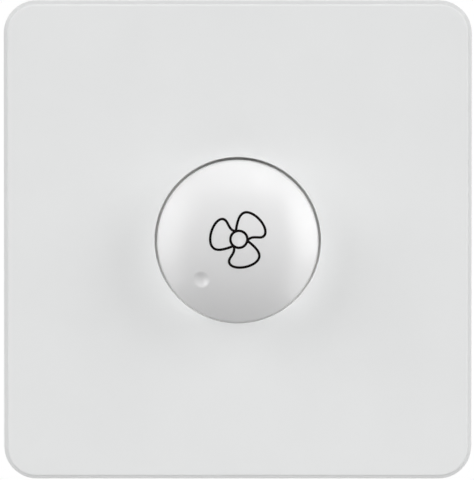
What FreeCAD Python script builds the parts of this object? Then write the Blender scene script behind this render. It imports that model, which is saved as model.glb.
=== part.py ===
import FreeCAD, Part
import Sketcher
import math
import operator
import os
from types import SimpleNamespace

# A wall-mounted fan speed control: a clip-on front plate and a domed knob in front of a
# mounting frame, with a housing behind it that holds the power electronics in the wall box.
#
# Frame: +Z up, +X to the right of a person facing the plate, +Y into the wall. The origin is
# on the wall plane, on the knob's axis. Depths are measured forwards from the wall plane, so
# a depth d lies at y = -d, and what sits inside the wall box has a negative depth.

SIZES = {
    # Front plate: overall outline, walls and the bevel round its face
    "plate_width": 86.0,
    "plate_height": 88.0,
    "plate_corner": 6.0,
    "plate_wall": 2.0,
    "plate_face": 2.0,
    "plate_wall_gap": 0.3,
    "bevel_inset": 0.75,
    "bevel_depth": 3.5,
    "edge_round": 0.4,
    "hole_round": 0.15,
    "collar_wall": 1.4,
    "collar_gap": 0.3,
    # Snap hooks on the plate, and their slots in the panel
    "hook_spacing": 48.0,
    "hook_width": 8.0,
    "hook_thickness": 1.3,
    "hook_nose": 0.9,
    "hook_nose_depth": 1.4,
    "hook_lead_in": 0.9,
    "hook_catch_gap": 0.1,
    "hook_rim_gap": 0.65,
    "hook_flex": 1.15,
    "hook_slot_gap": 0.2,
    # Mounting frame: the panel, its rim and the wall-screw slots
    "frame_gap": 0.4,
    "frame_rim": 1.8,
    "frame_inside_corner": 1.0,
    "rear_space": 2.0,
    "panel_thickness": 2.5,
    "panel_space": 2.5,
    "wall_screw_spacing": 60.3,
    "wall_slot_length": 8.0,
    "wall_slot_width": 4.2,
    "screw_seat_margin": 2.4,
    "screw_seat_depth": 1.0,
    "screw_pad_margin": 1.7,
    "boss_diameter": 6.0,
    "boss_plate_gap": 0.5,
    "boss_cap": 1.0,
    # Rear housing and the screws that hold it to the frame
    "housing_width": 48.0,
    "housing_height": 56.0,
    "housing_corner": 3.0,
    "housing_inside_corner": 1.2,
    "housing_wall": 1.8,
    "housing_rear_round": 1.0,
    "housing_pad_gap": 0.45,
    "flange_thickness": 2.5,
    "flange_margin": 3.0,
    "flange_corner": 2.0,
    "post_width": 5.0,
    "housing_screw_spacing": 30.0,
    "housing_screw_shank": 2.5,
    "housing_screw_head": 5.2,
    "housing_screw_head_depth": 1.9,
    "housing_screw_tip": 1.2,
    "housing_screw_hole": 3.0,
    "housing_screw_wall_gap": 0.4,
    "screw_thread_gap": 0.05,
    "screw_tip_gap": 0.3,
    "drive_slot_width": 0.7,
    "drive_slot_depth": 0.8,
    "vent_width": 2.4,
    "vent_pitch": 6.0,
    "rear_vent_length": 14.0,
    "rear_vent_height": 12.0,
    "top_vent_length": 12.0,
    "top_vent_depth": 9.0,
    "wire_hole": 6.4,
    "driver_hole": 6.0,
    # Knob: a thin shell with a spherical crown, a hub and radial ribs
    "knob_diameter": 29.6,
    "knob_gap": 0.45,
    "knob_draft": 0.12,
    "knob_rim_gap": 1.3,
    "knob_height": 11.6,
    "shoulder_height": 7.0,
    "shoulder_round": 0.6,
    "knob_wall": 1.6,
    "hub_diameter": 10.0,
    "hub_gap": 0.3,
    "rib_thickness": 1.2,
    "rib_setback": 1.6,
    "dimple_diameter": 3.0,
    "dimple_depth": 0.4,
    "dimple_reach": 9.5,
    "dimple_angle": 226.0,
    "dimple_round": 0.8,
    # Potentiometer: shaft, bush and their fixing to the panel
    "shaft_diameter": 6.0,
    "shaft_flat": 4.5,
    "shaft_gap": 0.05,
    "shaft_tip_gap": 0.4,
    "shaft_tip_chamfer": 0.4,
    "shaft_collar": 7.6,
    "shaft_collar_depth": 1.0,
    "shaft_collar_gap": 0.2,
    "bush_diameter": 7.0,
    "bush_lead": 1.6,
    "bush_plate": 1.2,
    "bush_hole_gap": 0.15,
    "lug_width": 2.4,
    "lug_height": 1.2,
    "lug_reach": 6.4,
    "lug_depth": 1.8,
    "lug_gap": 0.2,
    "washer_diameter": 11.5,
    "washer_thickness": 0.5,
    "washer_gap": 0.1,
    "nut_across_flats": 10.0,
    "nut_thickness": 2.0,
    "nut_gap": 0.03,
    # Potentiometer: can, wafer, rotor and wiper, with the switch behind them
    "can_diameter": 17.0,
    "can_wall": 0.5,
    "can_depth": 7.0,
    "can_overlap": 0.8,
    "can_fit": 0.05,
    "can_hole": 4.4,
    "wafer_thickness": 1.0,
    "wafer_hole": 8.5,
    "tongue_width": 11.0,
    "tongue_length": 3.0,
    "tongue_gap": 0.2,
    "tag_pitch": 4.0,
    "tag_width": 1.2,
    "tag_thickness": 0.4,
    "tag_foot": 2.3,
    "tag_overhang": 0.2,
    "wiper_gap": 0.05,
    "wiper_height": 0.7,
    "wiper_thickness": 0.25,
    "wiper_inner": 6.6,
    "wiper_outer": 12.0,
    "wiper_contact_reach": 5.2,
    "wiper_contact_size": 1.2,
    "rotor_diameter": 13.0,
    "rotor_thickness": 1.6,
    "rotor_peg": 4.0,
    "rotor_peg_reach": 1.3,
    "switch_diameter": 16.5,
    "switch_depth": 7.0,
    "switch_recess": 5.0,
    "switch_recess_depth": 1.8,
    "switch_pin_pitch": 8.0,
    "switch_pin_width": 1.2,
    "switch_pin_thickness": 0.6,
    # Circuit board and the parts soldered to its front
    "board_gap": 0.8,
    "board_side_gap": 0.4,
    "board_thickness": 1.6,
    "board_corner": 1.5,
    "lead_gap": 0.15,
    "lead_short": 0.1,
    "sink_width": 22.0,
    "sink_base": 1.6,
    "sink_fin_length": 4.0,
    "sink_fin_thickness": 1.2,
    "sink_panel_gap": 2.5,
    "sink_edge_margin": 1.0,
    "triac_width": 7.8,
    "triac_thickness": 2.7,
    "triac_length": 10.8,
    "triac_hole": 3.2,
    "triac_hole_drop": 3.8,
    "triac_leg_pitch": 2.3,
    "triac_leg_width": 0.8,
    "triac_leg_thickness": 0.5,
    "triac_screw_shank": 3.0,
    "triac_screw_head": 5.5,
    "triac_screw_head_depth": 1.6,
    "triac_screw_end_gap": 0.2,
    "capacitor_width": 13.0,
    "capacitor_thickness": 6.0,
    "capacitor_height": 11.0,
    "capacitor_round": 0.8,
    "capacitor_pitch": 10.0,
    "capacitor_lead": 0.8,
    "capacitor_side_margin": 2.3,
    "capacitor_edge_margin": 3.8,
    "choke_diameter": 12.0,
    "choke_hole": 6.5,
    "choke_height": 6.0,
    "choke_wire": 0.9,
    "choke_wire_gap": 0.05,
    "choke_winding_angle": 300.0,
    "choke_end_angle": 15.0,
    "choke_side_margin": 0.5,
    "choke_edge_margin": 0.7,
    "axial_lead": 0.6,
    "axial_bend": 0.8,
    "axial_board_gap": 0.2,
    "resistor_diameter": 2.4,
    "resistor_length": 6.3,
    "resistor_pitch": 10.0,
    "resistor_spacing": 11.0,
    "resistor_terminal_gap": 0.7,
    "diac_diameter": 2.0,
    "diac_length": 4.2,
    "diac_pitch": 8.0,
    "diac_terminal_gap": 6.0,
    # Brass wire terminals on the rear of the board
    "terminal_spacing": 24.0,
    "terminal_width": 7.0,
    "terminal_height": 8.0,
    "terminal_depth": 8.4,
    "terminal_gap": 1.4,
    "terminal_edge_margin": 4.8,
    "terminal_bore": 3.6,
    "terminal_bore_depth": 7.0,
    "terminal_bore_rise": 4.5,
    "terminal_peg": 1.6,
    "clamp_screw_shank": 3.5,
    "clamp_screw_head": 5.4,
    "clamp_screw_head_depth": 2.2,
    "clamp_screw_head_gap": 0.4,
    "clamp_screw_bore_gap": 0.3,
    "clamp_screw_setback": 4.0,
}

# Fixed counts and directions
RIB_COUNT = 6
FIN_COUNT = 6
VENT_COUNT = 5
NUT_SIDE_COUNT = 6
SIDES = (-1, 1)
LEFT_TO_RIGHT = (-1, 0, 1)

# Sketch planes: face-on looks at the plate, side-on cuts through the depth, plan is seen from above
FACE_ON = "XZ_Plane"
SIDE_ON = "YZ_Plane"
PLAN = "XY_Plane"

# Sketch elements and points: the sketch's origin and two axes, and the points of a line or an arc
ORIGIN = ACROSS_AXIS = -1
UP_AXIS = ACROSS_AXIS - 1
START, END, CENTRE = range(1, 4)

ARC = "arc"
TOUCH = 1e-4
FACING = FreeCAD.Vector(0, 0, 1)
OPERATIONS = {"+": operator.add, "-": operator.sub, "*": operator.mul, "/": operator.truediv}


class Size:
    """A length or an angle: its present number, and the sheet formula that it follows."""

    def __init__(self, number, formula):
        self.number = number
        self.formula = formula

    def __add__(self, other):
        return combine(self, "+", other)

    def __radd__(self, other):
        return combine(other, "+", self)

    def __sub__(self, other):
        return combine(self, "-", other)

    def __rsub__(self, other):
        return combine(other, "-", self)

    def __mul__(self, other):
        return combine(self, "*", other)

    def __rmul__(self, other):
        return combine(other, "*", self)

    def __truediv__(self, other):
        return combine(self, "/", other)

    def __neg__(self):
        return combine(-1, "*", self)


def as_size(value):
    if isinstance(value, Size):
        return value
    return Size(float(value), repr(float(value)))


def combine(left, sign, right):
    left = as_size(left)
    right = as_size(right)
    number = OPERATIONS[sign](left.number, right.number)
    return Size(number, f"({left.formula} {sign} {right.formula})")


def root(value):
    return Size(math.sqrt(value.number), f"sqrt({value.formula})")


def sine(angle):
    return Size(math.sin(math.radians(angle.number)), f"sin({angle.formula})")


def cosine(angle):
    return Size(math.cos(math.radians(angle.number)), f"cos({angle.formula})")


def slope_angle(rise, run):
    ratio = rise / run
    return Size(math.degrees(math.atan(ratio.number)), f"atan({ratio.formula})")


def tie(item, name, value):
    """Let a property follow the sheet."""
    item.setExpression(name, as_size(value).formula)


# Drawing in a sketch: every element is tied to the sheet by its points


def measure(sketch, value, *what):
    """Add a measured rule to a sketch and tie it to the sheet."""
    value = as_size(value)
    rule = sketch.addConstraint(Sketcher.Constraint(*what, value.number))
    tie(sketch, f"Constraints[{rule}]", value)


def place(sketch, element, point, across, up):
    """Tie a point to its distance across and up from the sketch's origin."""
    for kind, axis, value in (("DistanceX", UP_AXIS, across), ("DistanceY", ACROSS_AXIS, up)):
        if as_size(value).number == 0:
            sketch.addConstraint(Sketcher.Constraint("PointOnObject", element, point, axis))
        else:
            measure(sketch, value, kind, ORIGIN, START, element, point)


def vector(across, up):
    return FreeCAD.Vector(as_size(across).number, as_size(up).number, 0)


def join(sketch, element, point, other, other_point):
    sketch.addConstraint(Sketcher.Constraint("Coincident", element, point, other, other_point))


def arc_about(centre, first, last):
    """An arc counterclockwise from one point to another."""
    circle = Part.Circle(centre, FACING, first.distanceToPoint(centre))
    return Part.ArcOfCircle(circle, circle.parameter(first), circle.parameter(last))


def circle(radius, across=0, up=0):
    def draw(sketch):
        ring = Part.Circle(vector(across, up), FACING, as_size(radius).number)
        element = sketch.addGeometry(ring)
        place(sketch, element, CENTRE, across, up)
        measure(sketch, radius, "Radius", element)

    return draw


def outline(corners):
    """A closed outline. A corner marked as an arc starts an arc centred on the across axis."""

    def draw(sketch):
        points = [vector(corner[0], corner[1]) for corner in corners]
        sides = []
        for corner, here, there in zip(corners, points, points[1:] + points[:1]):
            if ARC not in corner:
                sides.append((sketch.addGeometry(Part.LineSegment(here, there)), START, END))
                continue
            offset = (here.Length ** 2 - there.Length ** 2) / (2 * (here.x - there.x))
            centre = FreeCAD.Vector(offset, 0, 0)
            left_turn = (here - centre).cross(there - centre).z > 0
            if left_turn:
                sides.append((sketch.addGeometry(arc_about(centre, here, there)), START, END))
            else:
                sides.append((sketch.addGeometry(arc_about(centre, there, here)), END, START))
            rule = Sketcher.Constraint("PointOnObject", sides[-1][0], CENTRE, ACROSS_AXIS)
            sketch.addConstraint(rule)
        for corner, side, after in zip(corners, sides, sides[1:] + sides[:1]):
            place(sketch, side[0], side[1], corner[0], corner[1])
            join(sketch, side[0], side[2], after[0], after[1])

    return draw


def box(width, height, across=0, up=0):
    left = across - width / 2
    right = across + width / 2
    low = up - height / 2
    high = up + height / 2
    return outline([(left, low), (right, low), (right, high), (left, high)])


def straight_sides(sketch, straights):
    """Draw separate lines and tie both ends of each."""
    lines = []
    for first, last in straights:
        line = sketch.addGeometry(Part.LineSegment(vector(*first), vector(*last)))
        place(sketch, line, START, *first)
        place(sketch, line, END, *last)
        lines.append(line)
    return lines


def rounded_box(width, height, radius, across=0, up=0):
    """Four straight sides joined by four corner arcs."""
    left = across - width / 2
    right = across + width / 2
    low = up - height / 2
    high = up + height / 2
    straights = [
        ((left + radius, low), (right - radius, low)),
        ((right, low + radius), (right, high - radius)),
        ((right - radius, high), (left + radius, high)),
        ((left, high - radius), (left, low + radius)),
    ]
    centres = [
        (right - radius, low + radius),
        (right - radius, high - radius),
        (left + radius, high - radius),
        (left + radius, low + radius),
    ]

    def draw(sketch):
        lines = straight_sides(sketch, straights)
        for index, centre in enumerate(centres):
            following = (index + 1) % len(lines)
            first = vector(*straights[index][1])
            last = vector(*straights[following][0])
            arc = sketch.addGeometry(arc_about(vector(*centre), first, last))
            join(sketch, arc, START, lines[index], END)
            join(sketch, arc, END, lines[following], START)
            measure(sketch, centre[0], "DistanceX", ORIGIN, START, arc, CENTRE)

    return draw


def slot(length, width, across=0, up=0, upright=False):
    """A slot with round ends, lying across the sketch or standing up in it."""
    radius = width / 2
    half = length / 2 - radius
    step = (0, half) if upright else (half, 0)
    side = (radius, 0) if upright else (0, -radius)
    ends = [(across + sign * step[0], up + sign * step[1]) for sign in (-1, 1)]

    def draw(sketch):
        right_side = [vector(x + side[0], y + side[1]) for x, y in ends]
        left_side = [vector(x - side[0], y - side[1]) for x, y in ends]
        out = sketch.addGeometry(Part.LineSegment(right_side[0], right_side[1]))
        far = sketch.addGeometry(arc_about(vector(*ends[1]), right_side[1], left_side[1]))
        back = sketch.addGeometry(Part.LineSegment(left_side[1], left_side[0]))
        near = sketch.addGeometry(arc_about(vector(*ends[0]), left_side[0], right_side[0]))
        place(sketch, far, CENTRE, *ends[1])
        place(sketch, near, CENTRE, *ends[0])
        measure(sketch, radius, "Radius", far)
        sketch.addConstraint(Sketcher.Constraint("Equal", far, near))
        for element, after in ((out, far), (far, back), (back, near), (near, out)):
            sketch.addConstraint(Sketcher.Constraint("Tangent", element, END, after, START))

    return draw


def flatted_circle(radius, flat):
    """A circle cut by a level chord above its centre."""
    reach = root(radius * radius - flat * flat)

    def draw(sketch):
        left = vector(-reach, flat)
        right = vector(reach, flat)
        arc = sketch.addGeometry(arc_about(FreeCAD.Vector(), left, right))
        chord = sketch.addGeometry(Part.LineSegment(right, left))
        join(sketch, arc, CENTRE, ORIGIN, START)
        join(sketch, arc, END, chord, START)
        join(sketch, chord, END, arc, START)
        measure(sketch, radius, "Radius", arc)
        measure(sketch, flat, "DistanceY", ORIGIN, START, chord, START)
        sketch.addConstraint(Sketcher.Constraint("Horizontal", chord))

    return draw


def bridge(foot, crest, low, high, bend):
    """An open path for a bent wire: up from one foot, along the crest and down to the other."""
    turn = crest + bend
    straights = [
        ((foot, low), (turn, low)),
        ((crest, low + bend), (crest, high - bend)),
        ((turn, high), (foot, high)),
    ]
    centres = [(turn, low + bend), (turn, high - bend)]

    def draw(sketch):
        lines = straight_sides(sketch, straights)
        for before, centre in enumerate(centres):
            after = before + 1
            first = vector(*straights[after][0])
            last = vector(*straights[before][1])
            arc = sketch.addGeometry(arc_about(vector(*centre), first, last))
            join(sketch, arc, START, lines[after], START)
            join(sketch, arc, END, lines[before], END)
            measure(sketch, centre[0], "DistanceX", ORIGIN, START, arc, CENTRE)

    return draw


class Piece:
    """One sub-part: a body built from sketches on its own origin planes."""

    def __init__(self, label):
        self.body = doc.addObject("PartDesign::Body", label)
        self.body.Label = label

    def origin(self, role):
        return next(item for item in self.body.Origin.OriginFeatures if item.Role == role)

    def sketch(self, name, plane, offset, shapes, shift):
        sketch = self.body.newObject("Sketcher::SketchObject", name + "Sketch")
        sketch.AttachmentSupport = [(self.origin(plane), "")]
        sketch.MapMode = "FlatFace"
        for axis, value in zip("xyz", (*shift, offset)):
            tie(sketch, f"AttachmentOffset.Base.{axis}", value)
        for draw in shapes:
            draw(sketch)
        return sketch

    def pad(self, name, shapes, low, high, plane=FACE_ON, taper=None):
        """Fill the outlines from one offset of their plane to a higher one."""
        sketch = self.sketch(name, plane, low, shapes, (0, 0))
        pad = self.body.newObject("PartDesign::Pad", name)
        pad.Profile = sketch
        tie(pad, "Length", as_size(high) - low)
        if taper is not None:
            tie(pad, "TaperAngle", taper)
        return pad

    def pocket(self, name, shapes, low, high, plane=FACE_ON):
        """Cut the outlines away between two offsets of their plane."""
        doc.recompute()
        before = self.body.Shape.Volume
        sketch = self.sketch(name, plane, high, shapes, (0, 0))
        pocket = self.body.newObject("PartDesign::Pocket", name)
        pocket.Profile = sketch
        tie(pocket, "Length", as_size(high) - low)
        doc.recompute()
        if self.body.Shape.Volume > before - TOUCH:
            raise RuntimeError(f"{self.body.Label}: {name} cuts nothing")
        return pocket

    def turn(self, name, shapes, offset=0, shift=(0, 0), angle=360):
        """Turn side-on outlines about the sketch's across axis, which runs along the depth."""
        sketch = self.sketch(name, SIDE_ON, offset, shapes, shift)
        turned = self.body.newObject("PartDesign::Revolution", name)
        turned.Profile = sketch
        turned.ReferenceAxis = (sketch, ["H_Axis"])
        tie(turned, "Angle", angle)
        return turned

    def pipe(self, name, path, across, section, low):
        """Sweep a face-on section, set at a depth, along a side-on path."""
        spine = self.sketch(name + "Path", SIDE_ON, across, [path], (0, 0))
        profile = self.sketch(name, FACE_ON, low, [section], (0, 0))
        swept = self.body.newObject("PartDesign::AdditivePipe", name)
        swept.Profile = profile
        swept.Spine = (spine, [""])
        return swept

    def repeat_round(self, name, feature, count):
        """Copy a feature evenly round the knob's axis."""
        pattern = self.body.newObject("PartDesign::PolarPattern", name)
        pattern.Originals = [feature]
        pattern.Axis = (self.origin("Y_Axis"), [""])
        pattern.Angle = 360
        pattern.Occurrences = count
        self.body.Tip = pattern

    def soften(self, kind, name, amount, wanted):
        """Round or chamfer the edges that a test picks out."""
        doc.recompute()
        tip = self.body.Tip
        names = [f"Edge{number}" for number, edge in enumerate(tip.Shape.Edges, 1) if wanted(edge)]
        softened = self.body.newObject("PartDesign::" + kind, name)
        softened.Base = (tip, names)
        tie(softened, "Radius" if kind == "Fillet" else "Size", amount)


def at_depth(depth):
    """Picks the edges that lie in the plane at a depth."""

    def wanted(edge):
        extent = edge.BoundBox
        return abs(extent.YMin + depth.number) < TOUCH and abs(extent.YMax + depth.number) < TOUCH

    return wanted


def group(label, pieces):
    """Several like pieces that share one name."""
    compound = doc.addObject("Part::Compound", label)
    compound.Label = label
    compound.Links = [piece.body for piece in pieces]
    return compound


doc = FreeCAD.newDocument("FanSpeedControl")
sheet = doc.addObject("Spreadsheet::Sheet", "Sizes")
for row, (size_name, size_number) in enumerate(SIZES.items(), 1):
    sheet.set(f"A{row}", size_name)
    sheet.set(f"B{row}", str(size_number))
    sheet.setAlias(f"B{row}", size_name)
doc.recompute()
size = SimpleNamespace(**{name: Size(float(sheet.get(name)), f"Sizes.{name}") for name in SIZES})

# Depths of the plate, the panel and the fixing of the bush, from the wall forwards
panel_rear = size.rear_space
panel_front = panel_rear + size.panel_thickness
panel_middle = panel_rear + size.panel_thickness / 2
plate_inside = panel_front + size.panel_space
plate_middle = plate_inside + size.plate_face / 2
plate_front = plate_inside + size.plate_face
washer_front = panel_front + size.washer_thickness
nut_front = washer_front + size.nut_thickness
bush_front = nut_front + size.bush_lead

# Depths of the potentiometer, the switch, the board and the housing, from the panel backwards
bush_rear = panel_rear - size.bush_plate
wafer_rear = bush_rear - size.wafer_thickness
wiper_front = wafer_rear - size.wiper_gap
wiper_ring = wiper_front - size.wiper_height
rotor_front = wiper_ring - size.wiper_thickness
rotor_rear = rotor_front - size.rotor_thickness
can_front = bush_rear + size.can_overlap
can_rear = bush_rear - size.can_depth
switch_rear = can_rear - size.switch_depth
board_front = switch_rear - size.board_gap
board_rear = board_front - size.board_thickness
lead_end = board_rear + size.lead_short
terminal_rear = board_rear - size.terminal_depth
housing_inside = terminal_rear - size.terminal_gap
housing_rear = housing_inside - size.housing_wall

# The knob's outer form: a slightly drafted side and a crown that is a cap of a sphere
knob_rim = panel_front + size.knob_rim_gap
hub_rear = bush_front + size.hub_gap
shoulder = plate_front + size.shoulder_height
crown = plate_front + size.knob_height
rim_radius = size.knob_diameter / 2
shoulder_radius = rim_radius - size.knob_draft
crown_rise = crown - shoulder
crown_radius = (shoulder_radius * shoulder_radius + crown_rise * crown_rise) / (2 * crown_rise)
crown_centre = crown - crown_radius
hole_radius = rim_radius + size.knob_gap
shaft_tip = crown - size.knob_wall - size.shaft_tip_gap
shaft_radius = size.shaft_diameter / 2
shaft_flat_height = size.shaft_flat - shaft_radius

# Places of the fixings seen from the front
frame_width = size.plate_width - 2 * (size.plate_wall + size.frame_gap)
frame_height = size.plate_height - 2 * (size.plate_wall + size.frame_gap)
hook_tip_height = frame_height / 2 - size.frame_rim - size.hook_rim_gap
hook_outer = hook_tip_height - size.hook_nose
hook_inner = hook_outer - size.hook_thickness
screw_gap_height = size.housing_screw_head / 2 + size.housing_screw_wall_gap
housing_screw_height = size.housing_height / 2 + screw_gap_height
boss_front = plate_inside - size.boss_plate_gap
flange_rear = panel_rear - size.flange_thickness
housing_screws_at = [
    (side * size.housing_screw_spacing / 2, end * housing_screw_height)
    for side in SIDES
    for end in SIDES
]

# Places on the board
can_radius = size.can_diameter / 2
can_bore = can_radius - size.can_wall
board_width = size.housing_width - 2 * (size.housing_wall + size.board_side_gap)
board_height = size.housing_height - 2 * (size.housing_wall + size.board_side_gap)
tag_height = can_radius + size.tongue_length + size.tag_overhang
sink_low = size.sink_edge_margin - board_height / 2
sink_base_low = sink_low + size.sink_fin_length
sink_high = sink_base_low + size.sink_base
sink_front = panel_rear - size.sink_panel_gap
triac_high = sink_high + size.triac_thickness
triac_hole_depth = sink_front - size.triac_hole_drop
capacitor_across = size.capacitor_width / 2 + size.capacitor_side_margin - board_width / 2
capacitor_up = board_height / 2 - size.capacitor_thickness / 2 - size.capacitor_edge_margin
choke_reach = size.choke_diameter / 2 + size.choke_wire
choke_across = board_width / 2 - choke_reach - size.choke_side_margin
choke_up = board_height / 2 - choke_reach - size.choke_edge_margin
axial_across = (size.switch_diameter / 2 + board_width / 2) / 2
terminal_low = size.terminal_edge_margin - board_height / 2
terminal_high = terminal_low + size.terminal_height
terminal_up = terminal_low + size.terminal_height / 2
wire_up = terminal_low + size.terminal_bore_rise
clamp_screw_depth = terminal_rear + size.clamp_screw_setback
lower_resistor_up = terminal_high + size.resistor_terminal_gap + size.resistor_pitch / 2
upper_resistor_up = lower_resistor_up + size.resistor_spacing
diac_up = terminal_high + size.diac_terminal_gap + size.diac_pitch / 2

# Every soldered lead adds its hole to the board: radius, across, up
board_holes = []


def lead_hole(half_thickness, across, up):
    board_holes.append((half_thickness + size.lead_gap, across, up))


def front_plate():
    plate = Piece("front_plate")
    face = rounded_box(size.plate_width, size.plate_height, size.plate_corner)
    inside_width = size.plate_width - 2 * size.plate_wall
    inside_height = size.plate_height - 2 * size.plate_wall
    inside = rounded_box(inside_width, inside_height, size.plate_corner - size.plate_wall)
    bevel_start = plate_front - size.bevel_depth
    bevel = -slope_angle(size.bevel_inset, size.bevel_depth)
    plate.pad("Skirt", [face], size.plate_wall_gap, bevel_start)
    plate.pad("Bevel", [face], bevel_start, plate_front, taper=bevel)
    plate.soften("Fillet", "FaceEdge", size.edge_round, at_depth(plate_front))
    plate.pocket("Inside", [inside], size.plate_wall_gap, plate_inside)
    collar = circle(hole_radius + size.collar_wall)
    plate.pad("Collar", [collar], panel_front + size.collar_gap, plate_middle)
    plate.pocket("KnobHole", [circle(hole_radius)], panel_front, plate_front)
    plate.soften("Fillet", "HoleEdge", size.hole_round, hole_mouth)
    catch = panel_rear - size.hook_catch_gap
    tip = catch - size.hook_nose_depth
    for side in SIDES:
        for end in SIDES:
            hook = [
                (-plate_middle, end * hook_inner),
                (-plate_middle, end * hook_outer),
                (-catch, end * hook_outer),
                (-catch, end * hook_tip_height),
                (-tip - size.hook_lead_in, end * hook_tip_height),
                (-tip, end * hook_outer),
                (-tip, end * hook_inner),
            ]
            left = side * size.hook_spacing / 2 - size.hook_width / 2
            plate.pad("Hook", [outline(hook)], left, left + size.hook_width, SIDE_ON)
    return plate


def hole_mouth(edge):
    """The front edge of the knob's hole."""
    return at_depth(plate_front)(edge) and abs(edge.BoundBox.XMax - hole_radius.number) < TOUCH


def mounting_frame():
    frame = Piece("mounting_frame")
    corner = size.plate_corner - size.plate_wall - size.frame_gap
    rim_inside_width = frame_width - 2 * size.frame_rim
    rim_inside_height = frame_height - 2 * size.frame_rim
    rear = rounded_box(rim_inside_width, rim_inside_height, size.frame_inside_corner)
    frame.pad("Rim", [rounded_box(frame_width, frame_height, corner)], 0, panel_front)
    frame.pocket("Rear", [rear], 0, panel_rear)

    # A pad behind each wall-screw slot stands on the wall and stops short of the housing
    slot_end = size.wall_screw_spacing / 2 + size.wall_slot_length / 2
    pad_near = size.housing_width / 2 + size.housing_pad_gap
    pad_length = slot_end + size.screw_pad_margin - pad_near
    pad_height = size.wall_slot_width + 2 * size.screw_pad_margin
    pad_middle = pad_near + pad_length / 2
    pads = [box(pad_length, pad_height, side * pad_middle) for side in SIDES]
    frame.pad("ScrewPads", pads, 0, panel_middle)

    bosses = [circle(size.boss_diameter / 2, x, z) for x, z in housing_screws_at]
    frame.pad("Bosses", bosses, panel_middle, boss_front)
    boss_bore = size.housing_screw_shank / 2 + size.screw_thread_gap
    bores = [circle(boss_bore, x, z) for x, z in housing_screws_at]
    frame.pocket("BossBores", bores, panel_rear, boss_front - size.boss_cap)

    seat_length = size.wall_slot_length + 2 * size.screw_seat_margin
    seat_width = size.wall_slot_width + 2 * size.screw_seat_margin
    slot_across = size.wall_screw_spacing / 2
    seats = [slot(seat_length, seat_width, side * slot_across) for side in SIDES]
    slots = [
        slot(size.wall_slot_length, size.wall_slot_width, side * slot_across) for side in SIDES
    ]
    frame.pocket("ScrewSeats", seats, panel_front - size.screw_seat_depth, panel_front)
    frame.pocket("WallSlots", slots, 0, panel_front)

    slot_low = hook_inner - size.hook_flex
    slot_high = hook_outer + size.hook_slot_gap
    slot_width = size.hook_width + 2 * size.hook_slot_gap
    hook_slots = [
        box(
            slot_width,
            slot_high - slot_low,
            side * size.hook_spacing / 2,
            end * (slot_low + slot_high) / 2,
        )
        for side in SIDES
        for end in SIDES
    ]
    frame.pocket("HookSlots", hook_slots, panel_rear, panel_front)

    lug_hole_width = size.lug_width + 2 * size.lug_gap
    lug_hole_height = size.lug_height + 2 * size.lug_gap
    lug_hole = box(lug_hole_width, lug_hole_height, up=-size.lug_reach)
    bush_hole = circle(size.bush_diameter / 2 + size.bush_hole_gap)
    frame.pocket("BushHole", [bush_hole, lug_hole], panel_rear, panel_front)
    return frame


def rear_housing():
    housing = Piece("rear_housing")
    wall = size.housing_wall
    inside_width = size.housing_width - 2 * wall
    inside_height = size.housing_height - 2 * wall
    outside = rounded_box(size.housing_width, size.housing_height, size.housing_corner)
    inside = rounded_box(inside_width, inside_height, size.housing_inside_corner)
    flange_width = size.housing_screw_spacing + size.housing_screw_head + 2 * size.flange_margin
    flange_height = 2 * (housing_screw_height + size.flange_margin)
    flange = rounded_box(flange_width, flange_height, size.flange_corner)
    housing.pad("Box", [outside], housing_rear, panel_rear)
    housing.soften("Fillet", "RearEdge", size.housing_rear_round, at_depth(housing_rear))
    housing.pad("Flange", [flange], flange_rear, panel_rear)
    housing.pocket("Inside", [inside], housing_inside, panel_rear)

    # Corner posts carry the board and run into the side walls
    post = size.post_width + wall / 2
    post_across = inside_width / 2 - size.post_width + post / 2
    post_up = inside_height / 2 - size.post_width + post / 2
    posts = [box(post, post, side * post_across, end * post_up) for side in SIDES for end in SIDES]
    housing.pad("Posts", posts, housing_inside - wall / 2, board_rear)

    screw_holes = [circle(size.housing_screw_hole / 2, x, z) for x, z in housing_screws_at]
    housing.pocket("ScrewHoles", screw_holes, flange_rear, panel_rear)
    wires_across = [side * size.terminal_spacing / 2 for side in SIDES]
    wire_holes = [circle(size.wire_hole / 2, x, wire_up) for x in wires_across]
    housing.pocket("WireHoles", wire_holes, housing_rear, housing_inside)
    vents_across = [(i - (VENT_COUNT - 1) / 2) * size.vent_pitch for i in range(VENT_COUNT)]
    rear_vents = [
        slot(size.rear_vent_length, size.vent_width, x, size.rear_vent_height, upright=True)
        for x in vents_across
    ]
    housing.pocket("RearVents", rear_vents, housing_rear, housing_inside)
    top_vents = [
        slot(size.top_vent_length, size.vent_width, x, size.top_vent_depth, upright=True)
        for x in vents_across
    ]
    top = size.housing_height / 2
    housing.pocket("TopVents", top_vents, top - wall, top, PLAN)
    driver_holes = [circle(size.driver_hole / 2, x, -clamp_screw_depth) for x in wires_across]
    housing.pocket("DriverHoles", driver_holes, -top, wall - top, PLAN)
    return housing


def housing_screws():
    """Slotted self-tapping screws, put in from the back of the flange."""
    shank = size.housing_screw_shank / 2
    head = size.housing_screw_head / 2
    head_rear = flange_rear - size.housing_screw_head_depth
    tip = boss_front - size.boss_cap - size.screw_tip_gap
    profile = [
        (-tip, 0),
        (size.housing_screw_tip - tip, shank),
        (-flange_rear, shank),
        (-flange_rear, head),
        (-(flange_rear + head_rear) / 2, head),
        (-head_rear, shank),
        (-head_rear, 0),
    ]
    screws = []
    for across, up in housing_screws_at:
        screw = Piece("housing_screw")
        screw.turn("Screw", [outline(profile)], across, (0, up))
        drive = box(2 * head, size.drive_slot_width, across, up)
        screw.pocket("Drive", [drive], head_rear, head_rear + size.drive_slot_depth)
        screws.append(screw)
    return screws


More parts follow.
